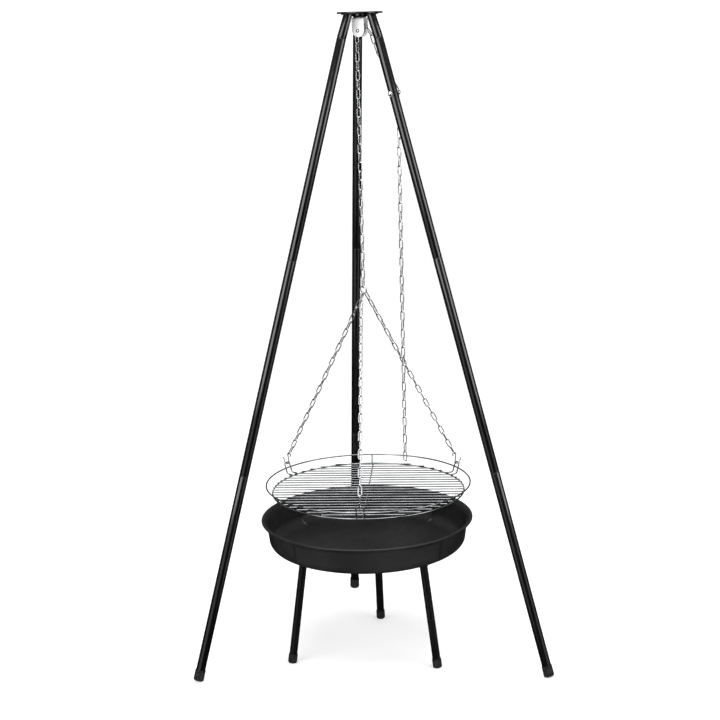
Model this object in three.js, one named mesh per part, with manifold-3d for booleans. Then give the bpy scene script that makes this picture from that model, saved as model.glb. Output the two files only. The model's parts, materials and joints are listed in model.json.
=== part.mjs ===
// A campfire tripod with a hanging round grate and a fire bowl.
// Three plug-in tube legs meet under a round head plate. A chain runs over a
// roller in a clevis under the plate: one end carries the grate on three
// slings, the other is hooked on a bolt through the right leg and hangs down.
// Millimetres, +Z up. The front is -Y.
import * as THREE from 'three';
import { mergeVertices } from 'three/addons/utils/BufferGeometryUtils.js';
import Module from 'manifold-3d';

const wasm = await Module();
wasm.setup();

// ---- Driving dimensions ----------------------------------------------------
const gap = 0.3; // between pieces that touch
const rad = THREE.MathUtils.degToRad;

const plate = { radius: 53, thickness: 4, top: 1540, legCircle: 33, edge: 1, overBolt: 1 };
const tube = { radius: 11, bore: 9.8, sides: 14 };
const spigot = { radius: 9.5, bore: 8.3, length: 40, neckStart: 3, neckEnd: 8 };
const legs = [
  { name: 'left', azimuth: 208.1, footRadius: 478 },
  { name: 'right', azimuth: 328.6, footRadius: 478 },
  { name: 'back', azimuth: 97.8, footRadius: 388 },
];
const socketEnd = 58; // distances down each leg's axis from the head plate
const upperEnd = 580;
const middleEnd = 1097;
const legCap = { radius: 12.4, bore: 11.3, length: 26, sole: 4, sides: 18 };
const capTaper = { sole: 2, mouth: 0.6 }; // off a cap's radius, at its sole and at its mouth
const soleTrim = 0.6; // how much of a foot's lowest edge is flat on the ground

const pinAzimuth = 58.6; // the roller's pin is square to the right leg
const bracket = { width: 32, inside: 15, sheet: 3, top: 1526.5, bottom: 1483, bend: 4 };
const boss = { radius: 17.5, lowRadius: 12, rim: 3 }; // between the bracket and the plate
const pin = { radius: 2.5, height: 1497, headRadius: 4.5, headLength: 2.2 };
const roller = { groove: 5, flange: 10, flangeWidth: 0.7, grooveSlope: 0.6, sides: 20 };
const hangerBolt = { radius: 4, headAcross: 13, headLength: 5 };
const holeClearance = 0.3;
const past = 30; // how far a cutting tool runs past the piece that it cuts

const link = { wire: 2.7, width: 11, pitch: 21.4, segments: 6, sides: 4 };
const fusedReach = 0.95; // how far a link's end runs past the point it shares with the next
const freeReach = 2; // the same where the two links stay separate
const chainOffset = 9; // from the roller's axis to the hanging chain
const slackLinks = 7; // from the roller to the link on the hook
const hookBolt = {
  distance: 190, // down the right leg's axis
  radius: 2.5,
  stand: 20.5, // from the leg's axis to the hooked link
  reach: 24.5,
  rise: 9,
  bend: 5,
  drop: 5.3, // from the bolt's axis to the hooked link's middle
  thread: 16, // from the leg's axis to the end in the dome nut
};
const domeNut = { across: 11, height: 5, domeRadius: 5.2, domeSink: 0.5 };
const tailEnd = 472;
const hub = { height: 891, radius: 8.5, wire: 3 };

const grate = {
  turn: 266.5, // azimuth of the direction across the bars, towards the front
  slingTurn: 265.4, // azimuth of the front sling
  strutTurn: 87.3, // azimuth of the back strut
  upperRadius: 250,
  upperHeight: 412.8,
  lowerRadius: 235,
  lowerHeight: 393.3,
  ringWire: 3.6,
  barWire: 3.2,
  barCount: 22,
  barPitch: 20.4,
  weldSink: 0.8, // how far welded wires sink into each other
  ringSegments: 64,
};
const hanger = {
  height: 427,
  radius: 250.4,
  width: 19,
  bend: 4, // at the two top corners
  footBend: 8, // where a leg turns in over the lower ring
  footEnd: 226, // radius of the feet's ends, on the bars
  leanRadius: 239.1, // where the legs' slope would reach the lower ring's height
};
const sHook = {
  wire: 3,
  lowerCurl: 6.7,
  upperCurl: 4.6,
  top: 453.5,
  seat: 3.7, // from the hanger's top down to the curl's lowest point
  lean: 2.5, // how much further out the shank's top is than its lower end
  tipOut: 3.2,
  tipRise: 9.5,
};

const bowl = {
  x: -12.6,
  y: -51.5,
  rim: 345,
  rimRadius: 256.2,
  wallTop: 244.5,
  wallBottom: 238.5,
  wallBottomHeight: 297,
  floorRadius: 205,
  floorEdge: 272,
  floorCentre: 267,
  dishRadius: 120,
  dishRise: 1.2,
  sheet: 2,
  lip: 7,
  lipEdge: 1.5,
  segments: 40,
};
const bowlLeg = { radius: 9.5, bore: 8.3, footRadius: 204.5, topRadius: 165, start: 6, sides: 14 };
const bowlLegAzimuths = { front_left: 201.9, front_right: 321.9, back: 81.9 };
const bowlSocket = { radius: 12, bore: 9.8, length: 18 };
const bowlCap = { radius: 11, bore: 9.8, length: 22, sole: 4, sides: 16 };

// ---- Materials -------------------------------------------------------------
const finish = (color, roughness, metalness) => () =>
  new THREE.MeshStandardMaterial({ color, roughness, metalness });
const blackPaint = finish(0x17171a, 0.3, 0.2);
const blackRubber = finish(0x101011, 0.8, 0);
const zinc = finish(0xc9cbcd, 0.35, 0.9);
const chrome = finish(0xd8dadd, 0.15, 1);
const bowlPaint = finish(0x2b2b2c, 0.6, 0.3);

// ---- Solids ----------------------------------------------------------------
function solidOf(geometry) {
  const bare = geometry.clone();
  bare.deleteAttribute('normal');
  bare.deleteAttribute('uv');
  const welded = mergeVertices(bare, 1e-4);
  const shape = new wasm.Mesh({
    numProp: 3,
    vertProperties: new Float32Array(welded.attributes.position.array),
    triVerts: new Uint32Array(welded.index.array),
  });
  return new wasm.Manifold(shape);
}

function geometryOf(solid) {
  const shape = solid.getMesh();
  const geometry = new THREE.BufferGeometry();
  geometry.setAttribute('position', new THREE.BufferAttribute(shape.vertProperties, 3));
  geometry.setIndex(new THREE.BufferAttribute(shape.triVerts, 1));
  return geometry;
}

function joined(geometries) {
  const [first, ...rest] = geometries.map(solidOf);
  return geometryOf(rest.reduce((whole, next) => whole.add(next), first));
}

function cut(geometry, tools) {
  return geometryOf(tools.map(solidOf).reduce((whole, tool) => whole.subtract(tool), solidOf(geometry)));
}

function common(a, b) {
  return geometryOf(solidOf(a).intersect(solidOf(b)));
}

// ---- Points and placing ----------------------------------------------------
const vec = (x, y, z) => new THREE.Vector3(x, y, z);
const up = vec(0, 0, 1);
const polar = (radius, azimuth, z) =>
  vec(radius * Math.cos(rad(azimuth)), radius * Math.sin(rad(azimuth)), z);
const pinAxis = polar(1, pinAzimuth, 0);
const runAxis = polar(1, pinAzimuth - 90, 0); // level, towards the right leg
const runPoint = (out, side, z) =>
  vec(0, 0, z).addScaledVector(runAxis, out).addScaledVector(pinAxis, side);
const onPin = (side) => runPoint(0, side, pin.height);
const hangPoint = runPoint(-chainOffset, 0, 0); // the hanging chain, seen from above
const hangAt = (z) => vec(hangPoint.x, hangPoint.y, z);

// Turns a geometry's own +Z to run from one point towards another.
function laidAlong(geometry, from, to, side = up) {
  const along = to.clone().sub(from).normalize();
  const across = Math.abs(along.dot(side)) > 0.99 ? vec(1, 0, 0) : side;
  const x = across.clone().cross(along).normalize();
  const y = along.clone().cross(x);
  const frame = new THREE.Matrix4().makeBasis(x, y, along).setPosition(from);
  return geometry.applyMatrix4(frame);
}

// A slab far wider than the object, between two heights, for level cuts.
function slab(low, high) {
  const wide = 3 * plate.top;
  return new THREE.BoxGeometry(wide, wide, high - low).translate(0, 0, (low + high) / 2);
}

// A body of revolution about +Z from [radius, height] pairs.
function turned(profile, sides) {
  const points = profile.map(([radius, height]) => new THREE.Vector2(radius, height));
  return new THREE.LatheGeometry(points, sides).rotateX(Math.PI / 2);
}

function rod(from, to, radius, sides = 10) {
  const length = from.distanceTo(to);
  return laidAlong(turned([[0, 0], [radius, 0], [radius, length], [0, length]], sides), from, to);
}

function hexagon(from, to, across) {
  return rod(from, to, across / Math.sqrt(3), 6);
}

function wire(points, radius, steps, sides = 8) {
  const section = new THREE.Shape();
  section.absarc(0, 0, radius, 0, 2 * Math.PI);
  const extrudePath = new THREE.CatmullRomCurve3(points, false, 'centripetal');
  return new THREE.ExtrudeGeometry(section, { steps, curveSegments: sides / 2, extrudePath });
}

function extruded(outline, depth, curveSegments) {
  return new THREE.ExtrudeGeometry(outline, { depth, bevelEnabled: false, curveSegments });
}

function arc(centre, u, v, radius, start, end, count) {
  const turn = (i) => rad(start + ((end - start) * i) / count);
  const at = (i) =>
    centre.clone()
      .addScaledVector(u, radius * Math.cos(turn(i)))
      .addScaledVector(v, radius * Math.sin(turn(i)));
  return Array.from({ length: count + 1 }, (_, i) => at(i));
}

// ---- Chain links -----------------------------------------------------------
// One link between two points of the chain, its flat side square to `normal`.
function chainLink(from, to, normal, endReach) {
  const along = to.clone().sub(from);
  const halfWidth = (link.width - link.wire) / 2;
  const radius = halfWidth / Math.cos(Math.PI / link.segments);
  const reach = along.length() / 2 + endReach;
  const ring = new THREE.TorusGeometry(radius, link.wire / 2, link.sides, link.segments);
  const position = ring.attributes.position;
  for (let i = 0; i < position.count; i += 1) {
    const x = position.getX(i);
    position.setX(i, x + Math.sign(x) * (reach - radius));
  }
  const x = along.normalize();
  const z = normal.clone().addScaledVector(x, -normal.dot(x)).normalize();
  const middle = from.clone().add(to).multiplyScalar(0.5);
  const frame = new THREE.Matrix4().makeBasis(x, z.clone().cross(x), z).setPosition(middle);
  return ring.applyMatrix4(frame);
}

// A chain through points a pitch apart, its links turned by a quarter in turn.
function chainThrough(points, firstNormal, secondNormal) {
  const links = points.slice(1).map((to, i) =>
    chainLink(points[i], to, i % 2 ? secondNormal : firstNormal, fusedReach));
  return joined(links);
}

// A long straight chain: a bar widened link by link, across and along in turn.
function straightChain(from, to) {
  const length = from.distanceTo(to);
  const count = Math.round(length / link.pitch);
  const bar = new THREE.BoxGeometry(link.wire, link.wire, length, 1, 1, 3 * count);
  const position = bar.attributes.position;
  for (let i = 0; i < position.count; i += 1) {
    const station = Math.round((position.getZ(i) / length + 0.5) * 3 * count);
    const widened = station % 3 === 0 ? 1 : link.width / link.wire;
    const across = Math.floor(station / 3) % 2 === 0;
    position.setX(i, position.getX(i) * (across ? widened : 1));
    position.setY(i, position.getY(i) * (across ? 1 : widened));
  }
  return laidAlong(bar.translate(0, 0, length / 2), from, to, pinAxis);
}

// ---- The group -------------------------------------------------------------
const tripodGrate = new THREE.Group();

function add(name, geometry, material) {
  const mesh = new THREE.Mesh(geometry, material());
  mesh.name = name;
  tripodGrate.add(mesh);
  return mesh;
}

// ---- Legs ------------------------------------------------------------------
const plateBottom = plate.top - plate.thickness;

function legAxis({ azimuth, footRadius }) {
  const head = polar(plate.legCircle, azimuth, plateBottom);
  const foot = polar(footRadius, azimuth, 0);
  return { head, down: foot.sub(head).normalize() };
}

const onLeg = ({ head, down }, distance) => head.clone().addScaledVector(down, distance);

// An open tube down the leg; its lower end is necked to plug into the next one.
function legTube(axis, from, to, plugged) {
  const length = to - from - gap;
  const tip = length + spigot.length;
  const plug = [
    [spigot.radius, length], [spigot.radius, tip], [spigot.bore, tip],
    [spigot.bore, length - spigot.neckStart], [tube.bore, length - spigot.neckEnd],
  ];
  const end = plugged ? plug : [[tube.bore, length]];
  const profile = [[tube.bore, 0], [tube.radius, 0], [tube.radius, length], ...end, [tube.bore, 0]];
  return laidAlong(turned(profile, tube.sides), onLeg(axis, from), onLeg(axis, to));
}

// A welded stub, cut off level under the plate.
function legSocket(axis) {
  const stub = legTube(axis, -tube.radius, socketEnd, true);
  return cut(stub, [slab(plateBottom - gap, plateBottom + past)]);
}

// A rubber cup over a tube's end, its sole square to the tube and worn level.
function footCap(axis, size) {
  const lean = Math.acos(-axis.down.z);
  const soleHeight = size.radius * Math.sin(lean) - soleTrim;
  const end = (axis.head.z - soleHeight) / Math.cos(lean);
  const profile = [
    [0, 0], [size.radius - capTaper.sole, 0], [size.radius, capTaper.sole],
    [size.radius - capTaper.mouth, size.length], [size.bore, size.length],
    [size.bore, size.sole], [0, size.sole],
  ];
  const cap = laidAlong(turned(profile, size.sides), onLeg(axis, end), onLeg(axis, 0));
  return { geometry: cut(cap, [slab(-past, 0)]), tubeEnd: end - size.sole - gap };
}

function addLeg(leg) {
  const axis = legAxis(leg);
  const { geometry, tubeEnd } = footCap(axis, legCap);
  add(`socket_${leg.name}`, legSocket(axis), blackPaint);
  const upper = legTube(axis, socketEnd, upperEnd, true);
  const hooked = leg.name === 'right';
  add(`leg_upper_${leg.name}`, hooked ? cut(upper, [hookHole()]) : upper, blackPaint);
  add(`leg_middle_${leg.name}`, legTube(axis, upperEnd, middleEnd, true), blackPaint);
  add(`leg_lower_${leg.name}`, legTube(axis, middleEnd, tubeEnd, false), blackPaint);
  add(`foot_${leg.name}`, geometry, blackRubber);
}

function addHeadPlate() {
  const { radius, thickness, edge } = plate;
  const profile = [
    [0, 0], [radius - edge, 0], [radius, edge], [radius, thickness - edge],
    [radius - edge, thickness], [0, thickness],
  ];
  const disc = turned(profile, 48).translate(0, 0, plateBottom);
  const hole = boltHole(plateBottom - past, plate.top - plate.overBolt);
  add('head_plate', cut(disc, [hole]), blackPaint);
}

// The hole for the hanger bolt, between two heights.
function boltHole(low, high) {
  return rod(vec(0, 0, low), vec(0, 0, high), hangerBolt.radius + holeClearance, 12);
}

// ---- Clevis, roller and bolts at the head ----------------------------------
function addBracket() {
  const half = bracket.inside / 2 + bracket.sheet;
  const outline = new THREE.Shape();
  const inner = bracket.inside / 2;
  const shoulder = bracket.top - bracket.bend;
  const ceiling = bracket.top - bracket.sheet;
  outline.moveTo(-half, bracket.bottom);
  outline.lineTo(-half, shoulder);
  outline.absarc(-half + bracket.bend, shoulder, bracket.bend, Math.PI, Math.PI / 2, true);
  outline.absarc(half - bracket.bend, shoulder, bracket.bend, Math.PI / 2, 0, true);
  outline.lineTo(half, bracket.bottom);
  outline.lineTo(inner, bracket.bottom);
  outline.lineTo(inner, ceiling);
  outline.lineTo(-inner, ceiling);
  outline.lineTo(-inner, bracket.bottom);
  const strap = extruded(outline, bracket.width, 4);
  strap.applyMatrix4(levelFrame(pinAxis, runPoint(-bracket.width / 2, 0, 0)));

  const round = bracket.width / 2;
  const cheek = new THREE.Shape();
  cheek.moveTo(-round, bracket.top + past);
  cheek.lineTo(-round, bracket.bottom + round);
  cheek.absarc(0, bracket.bottom + round, round, Math.PI, 2 * Math.PI, false);
  cheek.lineTo(round, bracket.top + past);
  const trim = extruded(cheek, 2 * past, 12);
  trim.applyMatrix4(levelFrame(runAxis, runPoint(0, past, 0)));

  const pinHole = rod(onPin(-past), onPin(past), pin.radius + holeClearance);
  const holes = [pinHole, boltHole(bracket.top - 2 * bracket.sheet, bracket.top + past)];
  add('pulley_bracket', cut(common(strap, trim), holes), zinc);
}

// Stands a flat (x, height) outline up, its x running along the level `x`.
function levelFrame(x, origin) {
  return new THREE.Matrix4().makeBasis(x, up, x.clone().cross(up)).setPosition(origin);
}

function addPin() {
  const reach = bracket.inside / 2 + bracket.sheet + gap;
  const end = reach + pin.headLength;
  const shank = rod(onPin(-reach - pin.headLength / 2), onPin(reach + pin.headLength / 2), pin.radius);
  const heads = [-1, 1].map((hand) => rod(onPin(hand * reach), onPin(hand * end), pin.headRadius, 12));
  add('pulley_pin', joined([shank, ...heads]), zinc);
}

function addRoller() {
  const half = bracket.inside / 2 - gap;
  const inner = half - roller.flangeWidth;
  const bore = pin.radius + holeClearance;
  const profile = [
    [bore, -half], [roller.flange, -half], [roller.flange, -inner],
    [roller.groove, -inner + roller.grooveSlope], [roller.groove, inner - roller.grooveSlope],
    [roller.flange, inner], [roller.flange, half], [bore, half], [bore, -half],
  ];
  const wheel = turned(profile, roller.sides);
  add('pulley_roller', laidAlong(wheel, onPin(0), onPin(1)), zinc);
}

function addHangerBolt() {
  const under = bracket.top - bracket.sheet - gap;
  const headBottom = under - hangerBolt.headLength;
  const end = plate.top - plate.overBolt - gap;
  const shank = rod(vec(0, 0, headBottom + 1), vec(0, 0, end), hangerBolt.radius, 12);
  const head = hexagon(vec(0, 0, headBottom), vec(0, 0, under), hangerBolt.headAcross);
  add('hanger_bolt', joined([head, shank]), zinc);
}

// A round boss that holds the bracket clear of the plate, domed towards it.
function addHeadBoss() {
  const height = plateBottom - bracket.top - 2 * gap;
  const bore = hangerBolt.radius + holeClearance;
  const shoulder = height - boss.rim;
  const dome = [0, 30, 60, 90].map((turn) => [
    boss.lowRadius + (boss.radius - boss.lowRadius) * Math.sin(rad(turn)),
    shoulder * (1 - Math.cos(rad(turn))),
  ]);
  const profile = [[bore, 0], ...dome, [boss.radius, height], [bore, height], [bore, 0]];
  add('head_boss', turned(profile, 32).translate(0, 0, bracket.top + gap), blackPaint);
}

// ---- Hook bolt through the right leg ---------------------------------------
const rightLeg = legAxis(legs[1]);
const hookRoot = onLeg(rightLeg, hookBolt.distance);
const besideHook = (side, rise = 0) =>
  hookRoot.clone().addScaledVector(pinAxis, side).add(vec(0, 0, rise));

function hookHole() {
  return rod(besideHook(-past), besideHook(past), hookBolt.radius + holeClearance);
}

function addHookBolt() {
  const corner = arc(besideHook(hookBolt.reach, hookBolt.bend), pinAxis, up, hookBolt.bend, -90, 0, 4);
  const tip = besideHook(hookBolt.reach + hookBolt.bend, hookBolt.rise);
  const straight = hookBolt.reach - hookBolt.bend / 2;
  const points = [besideHook(-hookBolt.thread), besideHook(0), besideHook(straight), ...corner, tip];
  add('hook_bolt', wire(points, hookBolt.radius, 14), zinc);
}

function addDomeNut() {
  const seat = tube.radius + gap;
  const nut = hexagon(besideHook(-seat), besideHook(-seat - domeNut.height), domeNut.across);
  const dome = new THREE.SphereGeometry(domeNut.domeRadius, 12, 8);
  dome.translate(...besideHook(-seat - domeNut.height + domeNut.domeSink));
  const hole = rod(besideHook(0), besideHook(-hookBolt.thread - gap), hookBolt.radius + holeClearance);
  add('dome_nut', cut(joined([nut, dome]), [hole]), zinc);
}

// ---- Chains ----------------------------------------------------------------
const runStart = pin.height - 6.5; // where the first link beside the roller starts
const swingTop = runStart - link.pitch;
const mainTop = swingTop - link.pitch;
const underLink = freeReach + link.wire / 2 + gap; // clear below the link above
const hookedMiddle = besideHook(hookBolt.stand, -hookBolt.drop);
const hookedTop = hookedMiddle.clone().add(vec(0, 0, link.pitch / 2));
const hookedBottom = hookedMiddle.clone().add(vec(0, 0, -link.pitch / 2));

// Beside the roller, over it, slack past the leg's inner side, down to the hook.
function addRunningChain() {
  const slack = new THREE.CatmullRomCurve3([
    runPoint(17, 0.5, pin.height + 6.5),
    runPoint(28, 5, pin.height - 10),
    runPoint(32, 10, pin.height - 31),
    runPoint(38, 15, pin.height - 51),
    runPoint(53, 19.5, pin.height - 75),
    runPoint(68, 18, pin.height - 107),
    hookedTop,
  ]);
  const beside = [hangAt(swingTop), hangAt(runStart), runPoint(-2.5, 0, pin.height + 14)];
  const points = [...beside, ...slack.getSpacedPoints(slackLinks), hookedBottom];
  add('chain_run', chainThrough(points, pinAxis, runAxis), zinc);
}

function addHangingChain() {
  add('chain_top_link', chainLink(hangAt(swingTop), hangAt(mainTop), runAxis, freeReach), zinc);
  const bottom = hangAt(hub.height + hub.radius + hub.wire / 2 + gap);
  add('chain_main', straightChain(hangAt(mainTop - underLink), bottom), zinc);
  const ring = new THREE.TorusGeometry(hub.radius, hub.wire / 2, 6, 16);
  add('hub_ring', laidAlong(ring, hangAt(hub.height), hangAt(hub.height).add(pinAxis)), zinc);
}

function addTail() {
  const top = hookedBottom.clone().add(vec(0, 0, -underLink));
  add('chain_tail', straightChain(top, top.clone().setZ(tailEnd)), zinc);
}

// ---- Grate -----------------------------------------------------------------
const thirds = [0, 120, 240];
const slingNames = ['front', 'right', 'left'];
const strutNames = ['back', 'front_left', 'front_right'];
const grateRing = (radius) => new THREE.TorusGeometry(radius, grate.ringWire / 2, 6, grate.ringSegments);

// A point of the hanging grate: out from its axis, sideways, and up.
function gratePoint(azimuth, out, side, z) {
  return hangAt(z).add(polar(out, azimuth, 0)).add(polar(side, azimuth + 90, 0));
}

function addRings() {
  add('grate_upper_ring', grateRing(grate.upperRadius).translate(...hangAt(grate.upperHeight)), chrome);
  add('grate_lower_ring', grateRing(grate.lowerRadius).translate(...hangAt(grate.lowerHeight)), chrome);
}

const barHeight = grate.lowerHeight + grate.ringWire / 2 + gap + grate.barWire / 2;

function addBars() {
  const radius = grate.barWire / 2;
  const bars = Array.from({ length: grate.barCount }, (_, i) => {
    const out = (i - (grate.barCount - 1) / 2) * grate.barPitch;
    const half = Math.sqrt(grate.lowerRadius ** 2 - out ** 2) + grate.weldSink;
    const from = gratePoint(grate.turn, out, -half, barHeight);
    return rod(from, gratePoint(grate.turn, out, half, barHeight), radius, 6);
  });
  const reach = grate.lowerRadius - grate.ringWire / 2 - gap;
  const under = (out) => gratePoint(grate.turn, out, 0, barHeight - grate.barWire + grate.weldSink);
  const support = rod(under(-reach), under(reach), radius, 4);
  add('grate_bars', joined([support, ...bars]), chrome);
}

// How far out a hanger or strut leans at a height.
function leanOut(z) {
  const share = (z - grate.lowerHeight) / (hanger.height - grate.lowerHeight);
  return hanger.leanRadius + share * (hanger.radius - hanger.leanRadius);
}

// A hanger's foot lying on the bars and its bend up to the leg: [radius, height] pairs.
function hangerFoot() {
  const { footBend, footEnd } = hanger;
  const onBars = barHeight + (grate.barWire + grate.ringWire) / 2 + gap;
  const middle = leanOut(onBars + footBend) - footBend;
  const bend = [0, 30, 60, 90].map((turn) => [
    middle + footBend * Math.sin(rad(turn)),
    onBars + footBend * (1 - Math.cos(rad(turn))),
  ]);
  return [[footEnd, onBars], ...bend];
}

function addHanger(name, azimuth) {
  const half = hanger.width / 2;
  const shoulder = hanger.height - hanger.bend;
  const leaning = (side, z) => gratePoint(azimuth, leanOut(z), side, z);
  const foot = (side) => hangerFoot().map(([out, z]) => gratePoint(azimuth, out, side, z));
  const corner = (hand) => [0, 45, 90].map((turn) => leaning(
    hand * (half - hanger.bend + hanger.bend * Math.cos(rad(turn))),
    shoulder + hanger.bend * Math.sin(rad(turn))));
  const points = [...foot(half), ...corner(1), ...corner(-1).reverse(), ...foot(-half).reverse()];
  add(`grate_hanger_${name}`, wire(points, grate.ringWire / 2, 30, 6), chrome);
}

function addStrut(name, azimuth) {
  const at = (z) => gratePoint(azimuth, leanOut(z), 0, z);
  const strut = rod(at(grate.lowerHeight - 1), at(grate.upperHeight + 1), grate.ringWire / 2, 6);
  add(`grate_strut_${name}`, strut, chrome);
}

// ---- Slings and S-hooks ----------------------------------------------------
const slingEnd = 2.8; // above an S-hook's top
const lowerCurl = { out: hanger.radius, z: hanger.height + sHook.lowerCurl - sHook.seat };
const shankTop = hanger.radius - sHook.lowerCurl + sHook.lean;
const upperCurl = { out: shankTop - sHook.upperCurl, z: sHook.top - sHook.upperCurl };

function addSHook(name, azimuth) {
  const outward = polar(1, azimuth, 0);
  const centre = (curl) => gratePoint(azimuth, curl.out, 0, curl.z);
  const lower = arc(centre(lowerCurl), outward, up, sHook.lowerCurl, -15, -180, 6);
  const upper = arc(centre(upperCurl), outward, up, sHook.upperCurl, 0, 250, 7);
  const tipOut = lowerCurl.out + sHook.lowerCurl + sHook.tipOut;
  const tip = gratePoint(azimuth, tipOut, 0, lowerCurl.z + sHook.tipRise);
  add(`s_hook_${name}`, wire([tip, ...lower, ...upper], sHook.wire / 2, 22, 6), zinc);
}

function addSling(name, azimuth) {
  const from = gratePoint(azimuth, 8, 0, hub.height - hub.radius - hub.wire / 2 - 2);
  const to = gratePoint(azimuth, upperCurl.out, 0, sHook.top + slingEnd);
  add(`sling_${name}`, straightChain(from, to), zinc);
}

// ---- Fire bowl -------------------------------------------------------------
const bowlAt = (radius, azimuth, z) => vec(bowl.x, bowl.y, 0).add(polar(radius, azimuth, z));

function addBowlPan() {
  const across = bowl.wallBottom - bowl.floorRadius;
  const drop = bowl.wallBottomHeight - bowl.floorEdge;
  const corner = (inset) => [0, 22.5, 45, 67.5, 90].map((turn) => [
    bowl.floorRadius + (across - inset) * Math.sin(rad(turn)),
    bowl.wallBottomHeight - (drop - inset) * Math.cos(rad(turn)),
  ]);
  const t = bowl.sheet;
  const dish = bowl.floorCentre + bowl.dishRise;
  const profile = [
    [0, bowl.floorCentre], [bowl.dishRadius, dish], ...corner(0), [bowl.wallTop, bowl.rim - t],
    [bowl.rimRadius - t, bowl.rim - t], [bowl.rimRadius - t, bowl.rim - bowl.lip],
    [bowl.rimRadius, bowl.rim - bowl.lip], [bowl.rimRadius, bowl.rim - bowl.lipEdge],
    [bowl.rimRadius - bowl.lipEdge, bowl.rim], [bowl.wallTop - t, bowl.rim],
    ...corner(t).reverse(), [bowl.dishRadius, dish + t], [0, bowl.floorCentre + t],
  ];
  add('bowl_pan', turned(profile, bowl.segments).translate(bowl.x, bowl.y, 0), bowlPaint);
}

// The cup welded under the pan that a bowl leg plugs into.
function bowlCup(axis) {
  const { radius, bore, length } = bowlSocket;
  const seat = length + bowlLeg.start;
  const end = seat + bowlLeg.start;
  const section = [[bore, 0], [radius, 0], [radius, end], [0, end], [0, seat], [bore, seat], [bore, 0]];
  return laidAlong(turned(section, bowlLeg.sides), onLeg(axis, length), onLeg(axis, 0));
}

function addBowlLeg(name, azimuth) {
  const head = bowlAt(bowlLeg.topRadius, azimuth, bowl.floorCentre);
  const axis = { head, down: bowlAt(bowlLeg.footRadius, azimuth, 0).sub(head).normalize() };
  const { geometry, tubeEnd } = footCap(axis, bowlCap);
  const { bore, radius, start, sides } = bowlLeg;
  const length = tubeEnd - start;
  const section = [[bore, 0], [radius, 0], [radius, length], [bore, length], [bore, 0]];
  const leg = laidAlong(turned(section, sides), onLeg(axis, start), onLeg(axis, tubeEnd));
  const pan = slab(bowl.floorCentre - gap, bowl.floorCentre + past);
  add(`bowl_socket_${name}`, cut(bowlCup(axis), [pan]), bowlPaint);
  add(`bowl_leg_${name}`, leg, bowlPaint);
  add(`bowl_foot_${name}`, geometry, blackRubber);
}

// ---- Assembly --------------------------------------------------------------
addHeadPlate();
legs.forEach(addLeg);
addBracket();
addPin();
addRoller();
addHangerBolt();
addHeadBoss();
addHookBolt();
addDomeNut();
addRunningChain();
addHangingChain();
addTail();
addRings();
addBars();
thirds.forEach((step, i) => {
  const azimuth = grate.slingTurn + step;
  addHanger(slingNames[i], azimuth);
  addSHook(slingNames[i], azimuth);
  addSling(slingNames[i], azimuth);
  addStrut(strutNames[i], grate.strutTurn + step);
});
addBowlPan();
Object.entries(bowlLegAzimuths).forEach(([name, azimuth]) => addBowlLeg(name, azimuth));

// The origin is the middle of the ground under the whole assembly.
const extent = new THREE.Box3().setFromObject(tripodGrate, true);
const centre = extent.getCenter(vec(0, 0, 0));
tripodGrate.position.set(-centre.x, -centre.y, 0);

export default tripodGrate;
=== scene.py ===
"""A campfire tripod with a grate on a chain hoist over a fire bowl: the finished surfaces.

Lengths are in millimetres in the frame's own axes; make_piece turns them into metres.
"""

import json
import math
import random

import bmesh
import bpy
import numpy as np
from mathutils import Matrix, Vector


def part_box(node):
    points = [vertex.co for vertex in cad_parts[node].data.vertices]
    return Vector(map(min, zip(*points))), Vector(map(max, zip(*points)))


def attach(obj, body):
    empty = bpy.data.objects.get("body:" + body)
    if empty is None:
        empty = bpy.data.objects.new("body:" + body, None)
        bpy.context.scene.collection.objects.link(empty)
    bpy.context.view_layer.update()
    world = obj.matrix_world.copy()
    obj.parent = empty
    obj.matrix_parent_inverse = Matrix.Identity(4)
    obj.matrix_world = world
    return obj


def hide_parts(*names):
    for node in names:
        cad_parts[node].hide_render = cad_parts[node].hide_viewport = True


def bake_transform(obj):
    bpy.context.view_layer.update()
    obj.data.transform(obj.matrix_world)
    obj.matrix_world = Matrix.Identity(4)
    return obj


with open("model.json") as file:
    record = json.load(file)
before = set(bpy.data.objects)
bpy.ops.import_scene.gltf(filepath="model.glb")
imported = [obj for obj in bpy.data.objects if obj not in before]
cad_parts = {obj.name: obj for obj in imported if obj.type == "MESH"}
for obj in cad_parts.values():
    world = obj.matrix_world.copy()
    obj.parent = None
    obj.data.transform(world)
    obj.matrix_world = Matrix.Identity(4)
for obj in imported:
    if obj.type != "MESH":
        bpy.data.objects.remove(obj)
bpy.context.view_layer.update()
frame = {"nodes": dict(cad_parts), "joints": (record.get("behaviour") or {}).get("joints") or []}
dice = random.Random(7)

# ---- Driving dimensions, in millimetres -------------------------------------
PIN_AZIMUTH = 58.6  # the roller's pin is square to the right leg
LEG_RADIUS = 11
LEG_GAP = 0.3  # clearance between two plugged sections
NECK_LENGTH = 40  # the plug at a tube's lower end
NECK_RADIUS = 9.5
NECK_WALL = 1.2
BORE = 9.8
EDGE = 1.3  # rounding of a cut tube's edge
WELD_WIRE = 1.7  # radius of the bead round a socket's root
RIPPLE = 0.25  # how uneven that bead is
CUP_WALL = 1.2  # of a rubber foot
CUP_SOLE = 4

STRAP_WIDTH = 32  # the pulley's bracket
STRAP_INSIDE = 15
STRAP_SHEET = 3
STRAP_BEND = 4.2
PIN_REACH = 10.8  # from the roller's middle to a pin head's seat
PIN_HEAD = ((0, 2.3), (1.6, 2.2), (3.1, 1.7), (4.1, 0.9), (4.5, 0), (2.5, 0))  # (radius, height)
BOLT_RADIUS = 4
BOLT_HEAD = 5  # its height
NUT_SEAT = 11.3  # from the right leg's axis

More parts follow.
